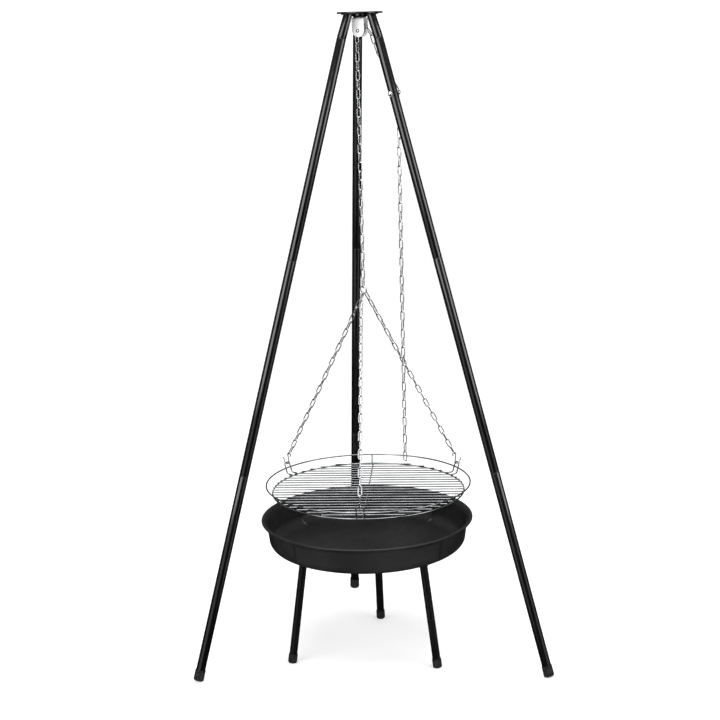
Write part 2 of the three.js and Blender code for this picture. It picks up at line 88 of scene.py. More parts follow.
LINK_WIRE = 2.7
LINK_WIDTH = 11
LINK_PITCH = 21.4
LINK_PLAY = 5  # degrees that a link may be turned out of its place
SWING_TOP = 28  # how far below the pin the single top link hangs
OVER_ROLLER = (-2.5, 0, 14)  # where the run crosses the roller: out, along the pin, up
SLACK_RUN = ((17, 0.5, 6.5), (28, 5, -10), (32, 10, -31), (38, 15, -51),
             (53, 19.5, -75), (68, 18, -107))  # and on down to the hook bolt
HOOK_OUT = 20.5  # where the hooked link hangs on the bolt, along the bolt
HOOK_DROP = 5.3  # and how far below it the link's middle is

HUB_RADIUS = 8.5
HUB_WIRE = 3

UPPER_RADIUS = 250
LOWER_RADIUS = 235
RING_WIRE = 3.6
BAR_WIRE = 3.2
BAR_COUNT = 22
BAR_PITCH = 20.4
BARS_TURN = 266.5  # azimuth of the direction across the bars, towards the front
SLING_TURN = 265.4  # azimuth of the front sling
STRUT_TURN = 87.3  # azimuth of the back strut

HANGER_RADIUS = 250.4
HANGER_WIDTH = 19
HANGER_BEND = 4
LEAN_RADIUS = 239.1  # where a hanger's slope would reach the lower ring's height
FOOT_BEND = 8  # where a hanger turns in over the lower ring
FOOT_END = 226

HOOK_WIRE = 3
LOWER_CURL = 6.7
UPPER_CURL = 4.6
HOOK_SEAT = 3.7  # from the hanger's top down to the curl's lowest point
HOOK_LEAN = 2.5  # how much further out the shank's top is than its lower end
HOOK_TIP_OUT = 3.2  # the lower curl's flared tip
HOOK_TIP_RISE = 9.5

RIM_RADIUS = 256.2
WALL_TOP = 244.5
WALL_BOTTOM = 238.5
FLOOR_RADIUS = 205
SHEET = 2
BEAD = 2.4  # radius of the rolled rim
BOWL_CORNER = 48  # from the rim down to where the wall turns in
DISH = 5  # how much deeper the pan is in the middle than at its corner
CREASES = (45, 135, 225, 315)  # azimuths of the pressed lines on the wall
CREASE_DEPTH = 4.5
CREASE_FLAT = 0.4  # degrees from a pressed line's middle to the end of its full depth
CREASE_SIDE = 1.1  # and to the end of its slope
CREASE_TOP = 9  # how far below the rim a pressed line starts
BOWL_LEG_RADIUS = 9.5
BOWL_LEG_BORE = 8.3
BOWL_CUP_RADIUS = 12  # the socket under the pan
BOWL_CUP_DEPTH = 14

LEG_NAMES = ("left", "right", "back")
THIRDS = (0, 120, 240)
SLINGS = {"front": -5.5, "right": 5, "left": 1.5}  # and where each hangs along the hub ring
STRUTS = ("back", "front_left", "front_right")
BOWL_LEGS = ("front_left", "front_right", "back")

MM = 1000
UP = Vector((0, 0, 1))


# ---- Reading the frame ------------------------------------------------------
def polar(radius, azimuth, z=0.0):
    angle = math.radians(azimuth)
    return Vector((radius * math.cos(angle), radius * math.sin(angle), z))


def box_of(node):
    low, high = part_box(node)
    return low * MM, high * MM


def middle_of(node):
    low, high = box_of(node)
    return (low + high) / 2


def corners_of(node):
    co = np.array([v.co for v in frame["nodes"][node].data.vertices]) * MM
    return np.unique(np.round(co, 2), axis=0)


def line_of(node):
    """A point on a straight round node's axis, and the direction down along it."""
    co = corners_of(node)
    centre = co.mean(0)
    _, _, rows = np.linalg.svd(co - centre)
    down = rows[0] if rows[0][2] < 0 else -rows[0]
    return Vector(centre), Vector(down)


def reach_along(node, point, direction):
    """How far a node reaches along a line: its first and last distance from the point."""
    distances = (corners_of(node) - np.array(point)) @ np.array(direction)
    return float(distances.min()), float(distances.max())


def joint_point(name):
    joint = next(j for j in frame["joints"] if j["name"] == name)
    return Vector(joint["pos_m"]) * MM


PIN_AXIS = polar(1, PIN_AZIMUTH)
RUN_AXIS = polar(1, PIN_AZIMUTH - 90)  # level, towards the right leg
PIN_CENTRE = joint_point("roller_spin")
HANG = joint_point("grate_turn")
BOWL_CENTRE = middle_of("bowl_pan")


def run_point(out, side, z):
    """A point from the roller's centre: towards the right leg, along the pin, and up."""
    return PIN_CENTRE + RUN_AXIS * out + PIN_AXIS * side + UP * z


def hang_at(z):
    return Vector((HANG.x, HANG.y, z))


# ---- Meshes -----------------------------------------------------------------
def lathe(profile, origin, along, sides=56, closed=False):
    """(radius, distance) pairs turned about a line; gives vertices and faces."""
    along = along.normalized()
    u = along.orthogonal().normalized()
    v = along.cross(u)
    verts, rings = [], []
    turns = [2 * math.pi * i / sides for i in range(sides)]
    for radius, distance in profile:
        centre = origin + along * distance
        if radius == 0:
            rings.append([len(verts)] * sides)
            verts.append(centre)
            continue
        rings.append(range(len(verts), len(verts) + sides))
        verts += [centre + (u * math.cos(a) + v * math.sin(a)) * radius for a in turns]
    if closed:
        rings.append(rings[0])
    return verts, faces_between(rings, sides)


def faces_between(rings, sides):
    faces = []
    for low, high in zip(rings, rings[1:]):
        for i in range(sides):
            j = (i + 1) % sides
            face = list(dict.fromkeys((low[i], low[j], high[j], high[i])))
            if len(face) > 2:
                faces.append(face)
    return faces


def quarter(steps):
    """Angles in even steps from nothing to a right angle."""
    return [math.pi / 2 * i / steps for i in range(steps + 1)]


def rounded(radius, edge, at, facing, steps=4):
    """Profile points that round a corner at a distance, facing -1 for its start, 1 for its end."""
    points = [(radius - edge + edge * math.sin(a), at - facing * (edge - edge * math.cos(a)))
              for a in quarter(steps)]
    return points if facing < 0 else points[::-1]


def sweep(points, radius, sides=16, closed=False, up=None):
    """A round wire through points. Its ends are rounded over unless it is closed."""
    points = [Vector(p) for p in points]
    radii = [radius] * len(points)
    if not closed:
        points, radii = with_round_ends(points, radius)
    count = len(points)
    tangents = [tangent(points, i, closed) for i in range(count)]
    side = up or tangents[0].orthogonal()
    verts, rings = [], []
    for p, t, r in zip(points, tangents, radii):
        side = (side - t * side.dot(t)).normalized()
        other = t.cross(side)
        rings.append(range(len(verts), len(verts) + sides))
        for i in range(sides):
            a = 2 * math.pi * i / sides
            verts.append(p + (side * math.cos(a) + other * math.sin(a)) * r)
    if closed:
        rings.append(rings[0])
        return verts, faces_between(rings, sides)
    faces = faces_between(rings, sides)
    faces += [list(rings[0])[::-1], list(rings[-1])]
    return verts, faces


def tangent(points, i, closed):
    count = len(points)
    before = points[(i - 1) % count] if closed else points[max(i - 1, 0)]
    after = points[(i + 1) % count] if closed else points[min(i + 1, count - 1)]
    return (after - before).normalized()


def with_round_ends(points, radius):
    """Adds shrinking sections inside both ends of a wire's path."""
    shares = ((0, 0.4), (0.1, 0.72), (0.4, 0.94))
    first = (points[1] - points[0]).normalized() * radius
    last = (points[-2] - points[-1]).normalized() * radius
    start = [(points[0] + first * s, radius * k) for s, k in shares]
    end = [(points[-1] + last * s, radius * k) for s, k in reversed(shares)]
    inner = [(p, radius) for p in [points[0] + first, *points[1:-1], points[-1] + last]]
    path = [*start, *inner, *end]
    return [p for p, _ in path], [r for _, r in path]


def arc(centre, u, v, radius, start, end, count):
    turns = [math.radians(start + (end - start) * i / count) for i in range(count + 1)]
    return [centre + u * radius * math.cos(a) + v * radius * math.sin(a) for a in turns]


def spline(points, step):
    """Points evenly spaced on a smooth curve through the given ones, a step apart or so."""
    ends = [points[0] * 2 - points[1], *points, points[-1] * 2 - points[-2]]
    dense = []
    for a, b, c, d in zip(ends, ends[1:], ends[2:], ends[3:]):
        for i in range(24):
            t = i / 24
            dense.append(0.5 * (2 * b + (c - a) * t + (2 * a - 5 * b + 4 * c - d) * t**2
                                + (3 * b - a - 3 * c + d) * t**3))
    dense.append(points[-1])
    lengths = np.cumsum([0] + [(q - p).length for p, q in zip(dense, dense[1:])])
    count = max(1, round(lengths[-1] / step))
    wanted = np.linspace(0, lengths[-1], count + 1)
    axes = [np.interp(wanted, lengths, [p[k] for p in dense]) for k in range(3)]
    return [Vector(p) for p in zip(*axes)]


def prism(outline, origin, u, v, depth):
    """A flat outline of (u, v) pairs given a depth along u x v."""
    w = u.cross(v) * depth
    base = [origin + u * a + v * b for a, b in outline]
    count = len(base)
    faces = [list(range(count))[::-1], list(range(count, 2 * count))]
    faces += [[i, (i + 1) % count, count + (i + 1) % count, count + i] for i in range(count)]
    return base + [p + w for p in base], faces


def hexagon(across, origin, along, depth):
    u = along.orthogonal().normalized()
    v = along.cross(u)
    radius = across / math.sqrt(3)
    corners = [(radius * math.cos(math.pi * i / 3), radius * math.sin(math.pi * i / 3)) for i in range(6)]
    return prism(corners, origin, u, v, depth)


def merged(*parts):
    verts, faces = [], []
    for part_verts, part_faces in parts:
        faces += [[i + len(verts) for i in face] for face in part_faces]
        verts += part_verts
    return verts, faces


def make_piece(name, shape, look, body, nodes, bevel=0.0):
    """One finished piece that replaces CAD nodes and rides on a body."""
    verts, faces = shape
    mesh = bpy.data.meshes.new(name)
    mesh.from_pydata([v / MM for v in verts], [], faces)
    work = bmesh.new()
    work.from_mesh(mesh)
    bmesh.ops.recalc_face_normals(work, faces=work.faces)
    work.to_mesh(mesh)
    work.free()
    mesh.shade_smooth()
    mesh.set_sharp_from_angle(angle=math.radians(38))
    mesh.materials.append(LOOKS[look])
    piece = bpy.data.objects.new(name, mesh)
    bpy.context.scene.collection.objects.link(piece)
    if bevel:
        add_bevel(piece, bevel)
    if body:
        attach(piece, body)
    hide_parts(*nodes)
    return piece


def add_bevel(piece, width):
    bevel = piece.modifiers.new("rounded edges", "BEVEL")
    bevel.width = width / MM
    bevel.segments = 3
    bevel.limit_method = "ANGLE"
    bevel.angle_limit = math.radians(40)
    bevel.harden_normals = True


# ---- Materials --------------------------------------------------------------
def new_look(name, metallic=0.0, specular=0.5):
    material = bpy.data.materials.new(name)
    material.use_nodes = True
    shader = material.node_tree.nodes["Principled BSDF"]
    shader.inputs["Metallic"].default_value = metallic
    shader.inputs["Specular IOR Level"].default_value = specular
    return material, shader


def add_noise(material, scale, detail=4.0, stretch=(1, 1, 1)):
    """Noise in metres of the frame; stretch squeezes it along an axis."""
    nodes, links = material.node_tree.nodes, material.node_tree.links
    coords = nodes.new("ShaderNodeTexCoord")
    mapping = nodes.new("ShaderNodeMapping")
    mapping.inputs["Scale"].default_value = stretch
    noise = nodes.new("ShaderNodeTexNoise")
    noise.inputs["Scale"].default_value = scale
    noise.inputs["Detail"].default_value = detail
    links.new(coords.outputs["Object"], mapping.inputs["Vector"])
    links.new(mapping.outputs["Vector"], noise.inputs["Vector"])
    return noise.outputs["Fac"]


def ramp(material, factor, low, high, start=0.35, end=0.65):
    """Maps a factor to a colour or, through its first channel, to a value."""
    node = material.node_tree.nodes.new("ShaderNodeValToRGB")
    node.color_ramp.elements[0].position = start
    node.color_ramp.elements[1].position = end
    node.color_ramp.elements[0].color = (*low, 1) if isinstance(low, tuple) else (low, low, low, 1)
    node.color_ramp.elements[1].color = (*high, 1) if isinstance(high, tuple) else (high, high, high, 1)
    material.node_tree.links.new(factor, node.inputs["Fac"])
    return node.outputs["Color"]


def add_bump(material, shader, height, strength, distance):
    bump = material.node_tree.nodes.new("ShaderNodeBump")
    bump.inputs["Strength"].default_value = strength
    bump.inputs["Distance"].default_value = distance
    material.node_tree.links.new(height, bump.inputs["Height"])
    material.node_tree.links.new(bump.outputs["Normal"], shader.inputs["Normal"])


def black_paint():
    """Gloss enamel on tube: faint orange peel, a thin uneven film of dust."""
    material, shader = new_look("black_paint", specular=1.0)
    link = material.node_tree.links.new
    link(ramp(material, add_noise(material, 14), 0.0012, 0.003), shader.inputs["Base Color"])
    link(ramp(material, add_noise(material, 60, 6), 0.1, 0.17), shader.inputs["Roughness"])
    add_bump(material, shader, add_noise(material, 420, 2), 0.12, 0.0004)
    return material


def black_rubber():
    """Moulded rubber: matt, grainy, greyed where it is scuffed."""
    material, shader = new_look("black_rubber", specular=0.3)
    link = material.node_tree.links.new
    link(ramp(material, add_noise(material, 90, 8), 0.006, 0.016), shader.inputs["Base Color"])
    link(ramp(material, add_noise(material, 200), 0.55, 0.8), shader.inputs["Roughness"])
    add_bump(material, shader, add_noise(material, 1500, 4), 0.25, 0.0003)
    return material


def zinc():
    """Bright zinc plating: slightly blue, cloudy, with fine drawn marks."""
    material, shader = new_look("zinc", metallic=1.0)
    link = material.node_tree.links.new
    cloud = add_noise(material, 130, 6)
    link(ramp(material, cloud, (0.84, 0.85, 0.87), (0.94, 0.945, 0.95)), shader.inputs["Base Color"])
    link(ramp(material, add_noise(material, 380, 3), 0.16, 0.26), shader.inputs["Roughness"])
    add_bump(material, shader, add_noise(material, 900, 3, (1, 1, 0.3)), 0.03, 0.0002)
    return material


def zinc_sheet():
    """The same plating on pressed sheet: paler and duller, with broad faint clouds."""
    material, shader = new_look("zinc_sheet", metallic=0.2)
    link = material.node_tree.links.new
    cloud = add_noise(material, 60, 5)
    link(ramp(material, cloud, (0.9, 0.905, 0.91), (0.97, 0.97, 0.97)), shader.inputs["Base Color"])
    link(ramp(material, add_noise(material, 220, 4), 0.38, 0.5), shader.inputs["Roughness"])
    add_bump(material, shader, add_noise(material, 1200, 3), 0.12, 0.0002)
    return material


def chrome_wire():
    """Polished chrome on drawn wire, a little smoky from use."""
    material, shader = new_look("chrome_wire", metallic=1.0)
    link = material.node_tree.links.new
    smoke = add_noise(material, 24, 5)
    link(ramp(material, smoke, (0.26, 0.27, 0.28), (0.46, 0.47, 0.48)), shader.inputs["Base Color"])
    link(ramp(material, add_noise(material, 260, 3), 0.12, 0.22), shader.inputs["Roughness"])
    add_bump(material, shader, add_noise(material, 700, 2), 0.04, 0.0002)
    return material


def bowl_paint():
    """Satin heat-proof paint: fine sprayed grain and soft cloudy variation."""
    material, shader = new_look("bowl_paint", specular=0.4)
    link = material.node_tree.links.new
    link(ramp(material, add_noise(material, 9, 7), 0.01, 0.018), shader.inputs["Base Color"])
    link(ramp(material, add_noise(material, 45, 6), 0.29, 0.38), shader.inputs["Roughness"])
    add_bump(material, shader, add_noise(material, 500, 3), 0.03, 0.0002)
    return material


def bowl_leg_paint():
    """The same paint on the bowl's legs with a darker base colour, a little streaky along the tube."""
    material, shader = new_look("bowl_leg_paint", specular=0.3)
    link = material.node_tree.links.new
    link(ramp(material, add_noise(material, 30, 5, (1, 1, 0.3)), 0.002, 0.005), shader.inputs["Base Color"])
    link(ramp(material, add_noise(material, 60, 5), 0.26, 0.36), shader.inputs["Roughness"])
    add_bump(material, shader, add_noise(material, 500, 3), 0.03, 0.0002)
    return material


LOOKS = {make.__name__: make()
         for make in (black_paint, black_rubber, zinc, zinc_sheet, chrome_wire, bowl_paint, bowl_leg_paint)}


# ---- Tripod -----------------------------------------------------------------
def add_head_plate():
    """A disc with rounded edges; gives the height of its underside."""
    low, high = box_of("head_plate")
    centre = middle_of("head_plate")
    radius = (high.x - low.x) / 2
    thickness = high.z - low.z
    lower_edge, upper_edge = 1.2, 1.6
    under = [(0, 0), *rounded(radius, lower_edge, 0, -1)]
    over = [*rounded(radius, upper_edge, thickness, 1), (0, thickness)]
    shape = lathe([*under, *over], Vector((centre.x, centre.y, low.z)), UP, 96)
    make_piece("head_plate_fine", shape, "black_paint", "tripod", ["head_plate"])
    return low.z


def tube_profile(start, end, radius, plugged):
    """An open tube with rounded cut edges, necked at its lower end if it plugs in."""
    outside = [(BORE, start), *rounded(radius, EDGE, start, -1)[1:], *rounded(radius, EDGE, end, 1)]
    if not plugged:
        return [*outside, (BORE, end)]
    tip = end + NECK_LENGTH
    neck_bore = NECK_RADIUS - NECK_WALL
    neck = [(NECK_RADIUS, end), (NECK_RADIUS, tip - 2), (NECK_RADIUS - 0.8, tip), (neck_bore, tip)]
    return [*outside, *neck, (neck_bore, end - 3), (BORE, end - 8)]


def add_leg(name, plate_bottom):
    """Three tube sections on one line, with the socket above and the foot below."""
    point, down = line_of(f"leg_middle_{name}")
    middle_start, middle_tip = reach_along(f"leg_middle_{name}", point, down)
    upper_start, upper_tip = reach_along(f"leg_upper_{name}", point, down)
    _, lower_end = reach_along(f"leg_lower_{name}", point, down)
    spans = {
        "upper": (upper_start, upper_tip - NECK_LENGTH, True),
        "middle": (middle_start, middle_tip - NECK_LENGTH, True),
        "lower": (middle_tip - NECK_LENGTH + LEG_GAP, lower_end, False),
    }
    for part, (start, end, plugged) in spans.items():
        shape = lathe(tube_profile(start, end, LEG_RADIUS, plugged), point, down, closed=True)
        make_piece(f"leg_{part}_{name}_fine", shape, "black_paint", "tripod", [f"leg_{part}_{name}"])
    add_socket(name, point, down, upper_start - LEG_GAP, plate_bottom)
    add_foot(f"foot_{name}", point, down, "tripod")


def add_socket(name, point, down, end, plate_bottom):
    """A stub welded under the plate, with the weld's bead round its root."""
    bead_steps, ripples, into_plate = 72, 17, 12
    top = point + down * ((plate_bottom - point.z) / down.z)
    start = (top - point).dot(down)
    profile = tube_profile(start - into_plate, end, LEG_RADIUS, True)
    verts, faces = lathe(profile, point, down, closed=True)
    for v in verts:
        v.z = min(v.z, plate_bottom - 0.1)
    beads = []
    for i in range(bead_steps):
        a = 2 * math.pi * i / bead_steps
        spread = LEG_RADIUS + 1.1 + RIPPLE * math.sin(ripples * a)
        beads.append(Vector((top.x, top.y, 0)) + polar(spread, math.degrees(a), plate_bottom - 0.9))
    weld = sweep(beads, WELD_WIRE, 10, closed=True, up=UP)
    shape = merged((verts, faces), weld)
    make_piece(f"socket_{name}_fine", shape, "black_paint", "tripod", [f"socket_{name}"])


def add_foot(node, point, down, body):
    """A rubber cup: rolled mouth, two fine grooves, rounded sole."""
    top, sole = reach_along(node, point, down)
    radius = 12.4 if body == "tripod" else 11
    groove = 0.45
    bore = radius - CUP_WALL
    profile = [(bore, top), *rounded(radius, 0.6, top, -1)[1:]]
    for share in (0.18, 0.3):
        at = top + (sole - top) * share
        profile += [(radius, at - 0.6), (radius - groove, at), (radius, at + 0.6)]
    inner_sole = sole - CUP_SOLE
    profile += [*rounded(radius, 3.2, sole, 1, 6), (0, sole), (0, inner_sole), (bore, inner_sole)]
    outside = lathe(profile, point, down, 48)
    inside = lathe([(bore, inner_sole), (bore, top)], point, down, 48)
    make_piece(f"{node}_fine", merged(outside, inside), "black_rubber", body, [node])


# ---- Pulley and bolts -------------------------------------------------------
def half_strap(low_z, high_z):
    """One cheek from its round lower end up, then its bend to the top.

    Each section is its place along the pin, its height, its half width and its outward normal.
    """
    half = STRAP_INSIDE / 2 + STRAP_SHEET / 2
    round_end = STRAP_WIDTH / 2
    inset = STRAP_BEND - STRAP_SHEET / 2
    middle_z = high_z - STRAP_SHEET / 2
    outward = -PIN_AXIS
    path = []
    for a in quarter(12)[1:]:
        path.append((-half, low_z + round_end * (1 - math.cos(a)), round_end * math.sin(a), outward))
    path.append((-half, high_z - STRAP_BEND - 1, round_end, outward))
    for a in quarter(8)[1:]:
        along = -(half - inset + inset * math.cos(a))
        normal = PIN_AXIS * -math.cos(a) + UP * math.sin(a)
        path.append((along, middle_z - inset + inset * math.sin(a), round_end, normal))
    return path


def add_bracket():
    """A strap bent into a clevis, with round lower ends."""
    low, high = box_of("pulley_bracket")
    centre = Vector((PIN_CENTRE.x, PIN_CENTRE.y, 0))
    path = half_strap(low.z, high.z)
    path += [(-along, z, w, Vector((-n.x, -n.y, n.z))) for along, z, w, n in reversed(path)]
    verts, faces = [], []
    for along, z, half_width, normal in path:
        spot = centre + PIN_AXIS * along + UP * z
        edge = RUN_AXIS * half_width
        out = normal * STRAP_SHEET / 2
        verts += [spot - edge - out, spot + edge - out, spot + edge + out, spot - edge + out]
    last = 4 * (len(path) - 1)
    for a in range(0, last, 4):
        b = a + 4
        faces += [[a + i, a + (i + 1) % 4, b + (i + 1) % 4, b + i] for i in range(4)]
    faces += [[3, 2, 1, 0], [last, last + 1, last + 2, last + 3]]
    make_piece("pulley_bracket_fine", (verts, faces), "zinc_sheet", "tripod", ["pulley_bracket"],
               bevel=0.35)


def add_pin():
    """A riveted pin with a domed head each side."""
    start = [(r, -PIN_REACH - h) for r, h in PIN_HEAD]
    end = [(r, PIN_REACH + h) for r, h in reversed(PIN_HEAD)]
    shape = lathe([*start, *end], PIN_CENTRE, PIN_AXIS, 40)
    make_piece("pulley_pin_fine", shape, "zinc", "tripod", ["pulley_pin"])


def add_roller():
    """A pressed roller: thin rolled flanges and a round-bottomed groove."""
    half, flange, groove, bore = 7.2, 10, 5, 2.8
    edge, steps, fullness = 0.35, 16, 0.6
    valley = []
    for i in range(steps + 1):
        depth = (flange - groove) * math.sin(math.pi * i / steps) ** fullness
        valley.append((flange - depth, -half + 0.8 + (2 * half - 1.6) * i / steps))
    start = [(bore, -half), *rounded(flange, edge, -half, -1)]
    end = [*rounded(flange, edge, half, 1), (bore, half)]
    shape = lathe([*start, *valley, *end], PIN_CENTRE, PIN_AXIS, 64, closed=True)
    make_piece("pulley_roller_fine", shape, "zinc", "roller", ["pulley_roller"])


def add_hanger_bolt(plate_bottom):
    """A hexagon head inside the bracket, with its shank up to the plate."""
    low, _ = box_of("hanger_bolt")
    centre = Vector((PIN_CENTRE.x, PIN_CENTRE.y, low.z))
    across, start, top = 13, 4, plate_bottom - low.z
    shank = lathe([(0, start), (BOLT_RADIUS, start), (BOLT_RADIUS, top), (0, top)], centre, UP, 32)
    shape = merged(hexagon(across, centre, UP, BOLT_HEAD), shank)
    make_piece("hanger_bolt_fine", shape, "zinc", "tripod", ["hanger_bolt"], bevel=0.5)


def add_head_boss():
    """A round boss between the bracket and the plate, domed towards the bracket."""
    low, high = box_of("head_boss")
    radius = (high.x - low.x) / 2
    height = high.z - low.z
    bore, foot, rim = 4.3, 12, 3
    dome = [(foot + (radius - foot) * math.sin(a), (height - rim) * (1 - math.cos(a)))
            for a in quarter(10)]
    profile = [(bore, 0), (foot - 0.5, 0), *dome, *rounded(radius, 0.5, height, 1), (bore, height)]
    base = Vector((PIN_CENTRE.x, PIN_CENTRE.y, low.z))
    shape = lathe(profile, base, UP, 72, closed=True)
    make_piece("head_boss_fine", shape, "black_paint", "tripod", ["head_boss"])


def hook_root():
    """Where the hook bolt's axis crosses the right leg's."""
    point, down = line_of("leg_upper_right")
    nut = middle_of("dome_nut")
    return point + down * (nut - point).dot(down)


def add_hook_bolt():
    """A bolt across the leg, turned up into a hook behind it, with a washer."""
    root = hook_root()
    radius, reach, bend, rise = 2.5, 24.5, 5, 9
    shank = [root + PIN_AXIS * side for side in (-15, -8, 0, 10, 20)]
    corner = arc(root + PIN_AXIS * reach + UP * bend, PIN_AXIS, UP, bend, -90, 0, 8)
    tip = root + PIN_AXIS * (reach + bend) + UP * rise
    shape = sweep([*shank, *corner, tip], radius, 24)
    bore, rim, near, far = 2.6, 5.5, 11.4, 12.4
    section = [(bore, near), (rim, near), (rim, far), (bore, far)]
    washer = lathe(section, root, PIN_AXIS, 32, closed=True)
    make_piece("hook_bolt_fine", merged(shape, washer), "zinc", "tripod", ["hook_bolt"])


def add_dome_nut():
    """A hexagon nut closed by a dome."""
    root = hook_root()
    across, height, radius, sunk = 11, 5, 5.2, 0.5
    nut = hexagon(across, root - PIN_AXIS * NUT_SEAT, -PIN_AXIS, height)
    profile = [(radius * math.cos(a), radius * math.sin(a)) for a in quarter(8)[:-1]]
    dome_foot = root - PIN_AXIS * (NUT_SEAT + height - sunk)
    dome = lathe([*profile, (0, radius)], dome_foot, -PIN_AXIS, 32)
    make_piece("dome_nut_fine", merged(nut, dome), "zinc", "tripod", ["dome_nut"], bevel=0.3)


# ---- Chains -----------------------------------------------------------------
def link_shape(start, end, normal):
    """One welded link between two points that it shares with its neighbours."""
    along = (end - start).normalized()
    normal = (normal - along * normal.dot(along)).normalized()
    across = normal.cross(along)
    half_width = (LINK_WIDTH - LINK_WIRE) / 2
    straight = (end - start).length / 2 + LINK_WIRE / 2 - half_width
    middle = (start + end) / 2
    weld_swell = 0.18
    path = []
    for hand in (1, -1):
        for i in range(9):
            a = math.pi * (i / 8 - 0.5)
            x = hand * (straight + half_width * math.cos(a))
            path.append(middle + along * x + across * (hand * half_width * math.sin(a)))
        side = across * (hand * half_width)
        path += [middle + along * (hand * straight * s) + side for s in (0.4, 0, -0.4)]
    verts, faces = sweep(path, LINK_WIRE / 2, 10, closed=True, up=normal)
    weld = middle + across * half_width
    for v in verts:
        off = v - weld
        if off.length < LINK_WIRE:
            v += (off - along * off.dot(along)) * weld_swell
    return verts, faces


def chain_shape(points, first_normal, last_normal=None):
    """Links through points, each a quarter turn from the one before, with a little play."""
    count = len(points) - 1
    twist = 0.0
    if last_normal is not None:
        along = (points[-1] - points[0]).normalized()
        twist = left_over_turn(first_normal, last_normal, along, count)
    links = []
    for i, (start, end) in enumerate(zip(points, points[1:])):
        along = (end - start).normalized()
        flat = (first_normal - along * first_normal.dot(along)).normalized()
        play = math.radians(dice.uniform(-LINK_PLAY, LINK_PLAY)) if 0 < i < count - 1 else 0
        turn = i * math.pi / 2 + twist * i / max(count - 1, 1) + play
        links.append(link_shape(start, end, Matrix.Rotation(turn, 3, along) @ flat))
    return merged(*links)


def left_over_turn(first, last, along, count):
    """The twist that brings the last link's flat side to face as asked."""
    first = (first - along * first.dot(along)).normalized()
    last = (last - along * last.dot(along)).normalized()
    angle = math.atan2(first.cross(last).dot(along), first.dot(last))
    spare = (angle - (count - 1) * math.pi / 2) % math.pi
    return spare if spare < math.pi / 2 else spare - math.pi


def even_points(start, end):
    count = round((end - start).length / LINK_PITCH)
    return [start.lerp(end, i / count) for i in range(count + 1)]


def hooked_link_ends():
    """The upper and lower end of the link that hangs on the hook bolt."""
    middle = hook_root() + PIN_AXIS * HOOK_OUT - UP * HOOK_DROP
    return middle + UP * (LINK_PITCH / 2), middle - UP * (LINK_PITCH / 2)


def add_run(swing_top, hooked_top, hooked_bottom):
    """The chain from the top link over the roller, slack down to the hook bolt."""
    slack = spline([*(run_point(*place) for place in SLACK_RUN), hooked_top], LINK_PITCH)
    beside = [swing_top, swing_top + UP * LINK_PITCH, run_point(*OVER_ROLLER)]
    run = chain_shape([*beside, *slack, hooked_bottom], PIN_AXIS)
    make_piece("chain_run_fine", run, "zinc", "tripod", ["chain_run"])


def add_main(main_top):
    """The hanging chain down to the hub ring, on no body, then the hub ring itself."""
    hub = middle_of("hub_ring")
    touching = (HUB_WIRE + LINK_WIRE) / 2
    ring_top = hub + UP * (HUB_RADIUS - touching + LINK_WIRE / 2)
    main = chain_shape(even_points(main_top, ring_top), PIN_AXIS)
    piece = make_piece("chain_main_fine", main, "zinc", None, ["chain_main"])
    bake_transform(piece)
    path = arc(hub, RUN_AXIS, UP, HUB_RADIUS, 0, 354, 59)
    ring = sweep(path, HUB_WIRE / 2, 18, closed=True, up=PIN_AXIS)
    make_piece("hub_ring_fine", ring, "zinc", "hub", ["hub_ring"])


def add_tail(hooked_bottom):
    """The free end that hangs below the hook bolt."""
    tail_low, _ = box_of("chain_tail")
    tail_end = hooked_bottom.copy()
    tail_end.z = tail_low.z + LINK_WIRE
    tail = chain_shape(even_points(hooked_bottom, tail_end), RUN_AXIS)
    make_piece("chain_tail_fine", tail, "zinc", "tail", ["chain_tail"])


def add_chains():
    swing_top = hang_at(PIN_CENTRE.z - SWING_TOP + 0.1)
    main_top = swing_top - UP * LINK_PITCH
    hooked_top, hooked_bottom = hooked_link_ends()
    add_run(swing_top, hooked_top, hooked_bottom)
    top = link_shape(swing_top, main_top, RUN_AXIS)
    make_piece("chain_top_link_fine", top, "zinc", "top_link", ["chain_top_link"])
    add_main(main_top)
    add_tail(hooked_bottom)


# ---- Grate ------------------------------------------------------------------
def grate_point(azimuth, out, side, z):
    """A point of the hanging grate: out from its axis, sideways, and up."""
    return hang_at(z) + polar(out, azimuth) + polar(side, azimuth + 90)


def lower_height():
    return middle_of("grate_lower_ring").z


def upper_height():
    return middle_of("grate_upper_ring").z


def hanger_height():
    _, high = box_of("grate_hanger_front")
    return high.z - RING_WIRE / 2


def add_rings():
    for node, radius, z in (("grate_upper_ring", UPPER_RADIUS, upper_height()),
                            ("grate_lower_ring", LOWER_RADIUS, lower_height())):
        path = arc(hang_at(z), Vector((1, 0, 0)), Vector((0, 1, 0)), radius, 0, 358, 179)
        ring = sweep(path, RING_WIRE / 2, 18, closed=True, up=UP)
        make_piece(f"{node}_fine", ring, "chrome_wire", "grate", [node])


def add_bars():
    """Parallel bars welded on the lower ring, over one support bar."""
    overhang, sunk = 1.2, 0.5
    height = lower_height() + (RING_WIRE + BAR_WIRE) / 2
    bars = []
    for i in range(BAR_COUNT):
        out = (i - (BAR_COUNT - 1) / 2) * BAR_PITCH
        half = math.sqrt(LOWER_RADIUS**2 - out**2) + overhang
        path = [grate_point(BARS_TURN, out, half * s, height) for s in (-1, -0.5, 0, 0.5, 1)]
        bars.append(sweep(path, BAR_WIRE / 2, 14))
    reach = LOWER_RADIUS - RING_WIRE / 2
    under = height - BAR_WIRE + sunk
    path = [grate_point(BARS_TURN, reach * s, 0, under) for s in (-1, -0.5, 0, 0.5, 1)]
    support = sweep(path, BAR_WIRE / 2, 14)
    make_piece("grate_bars_fine", merged(support, *bars), "chrome_wire", "grate", ["grate_bars"])


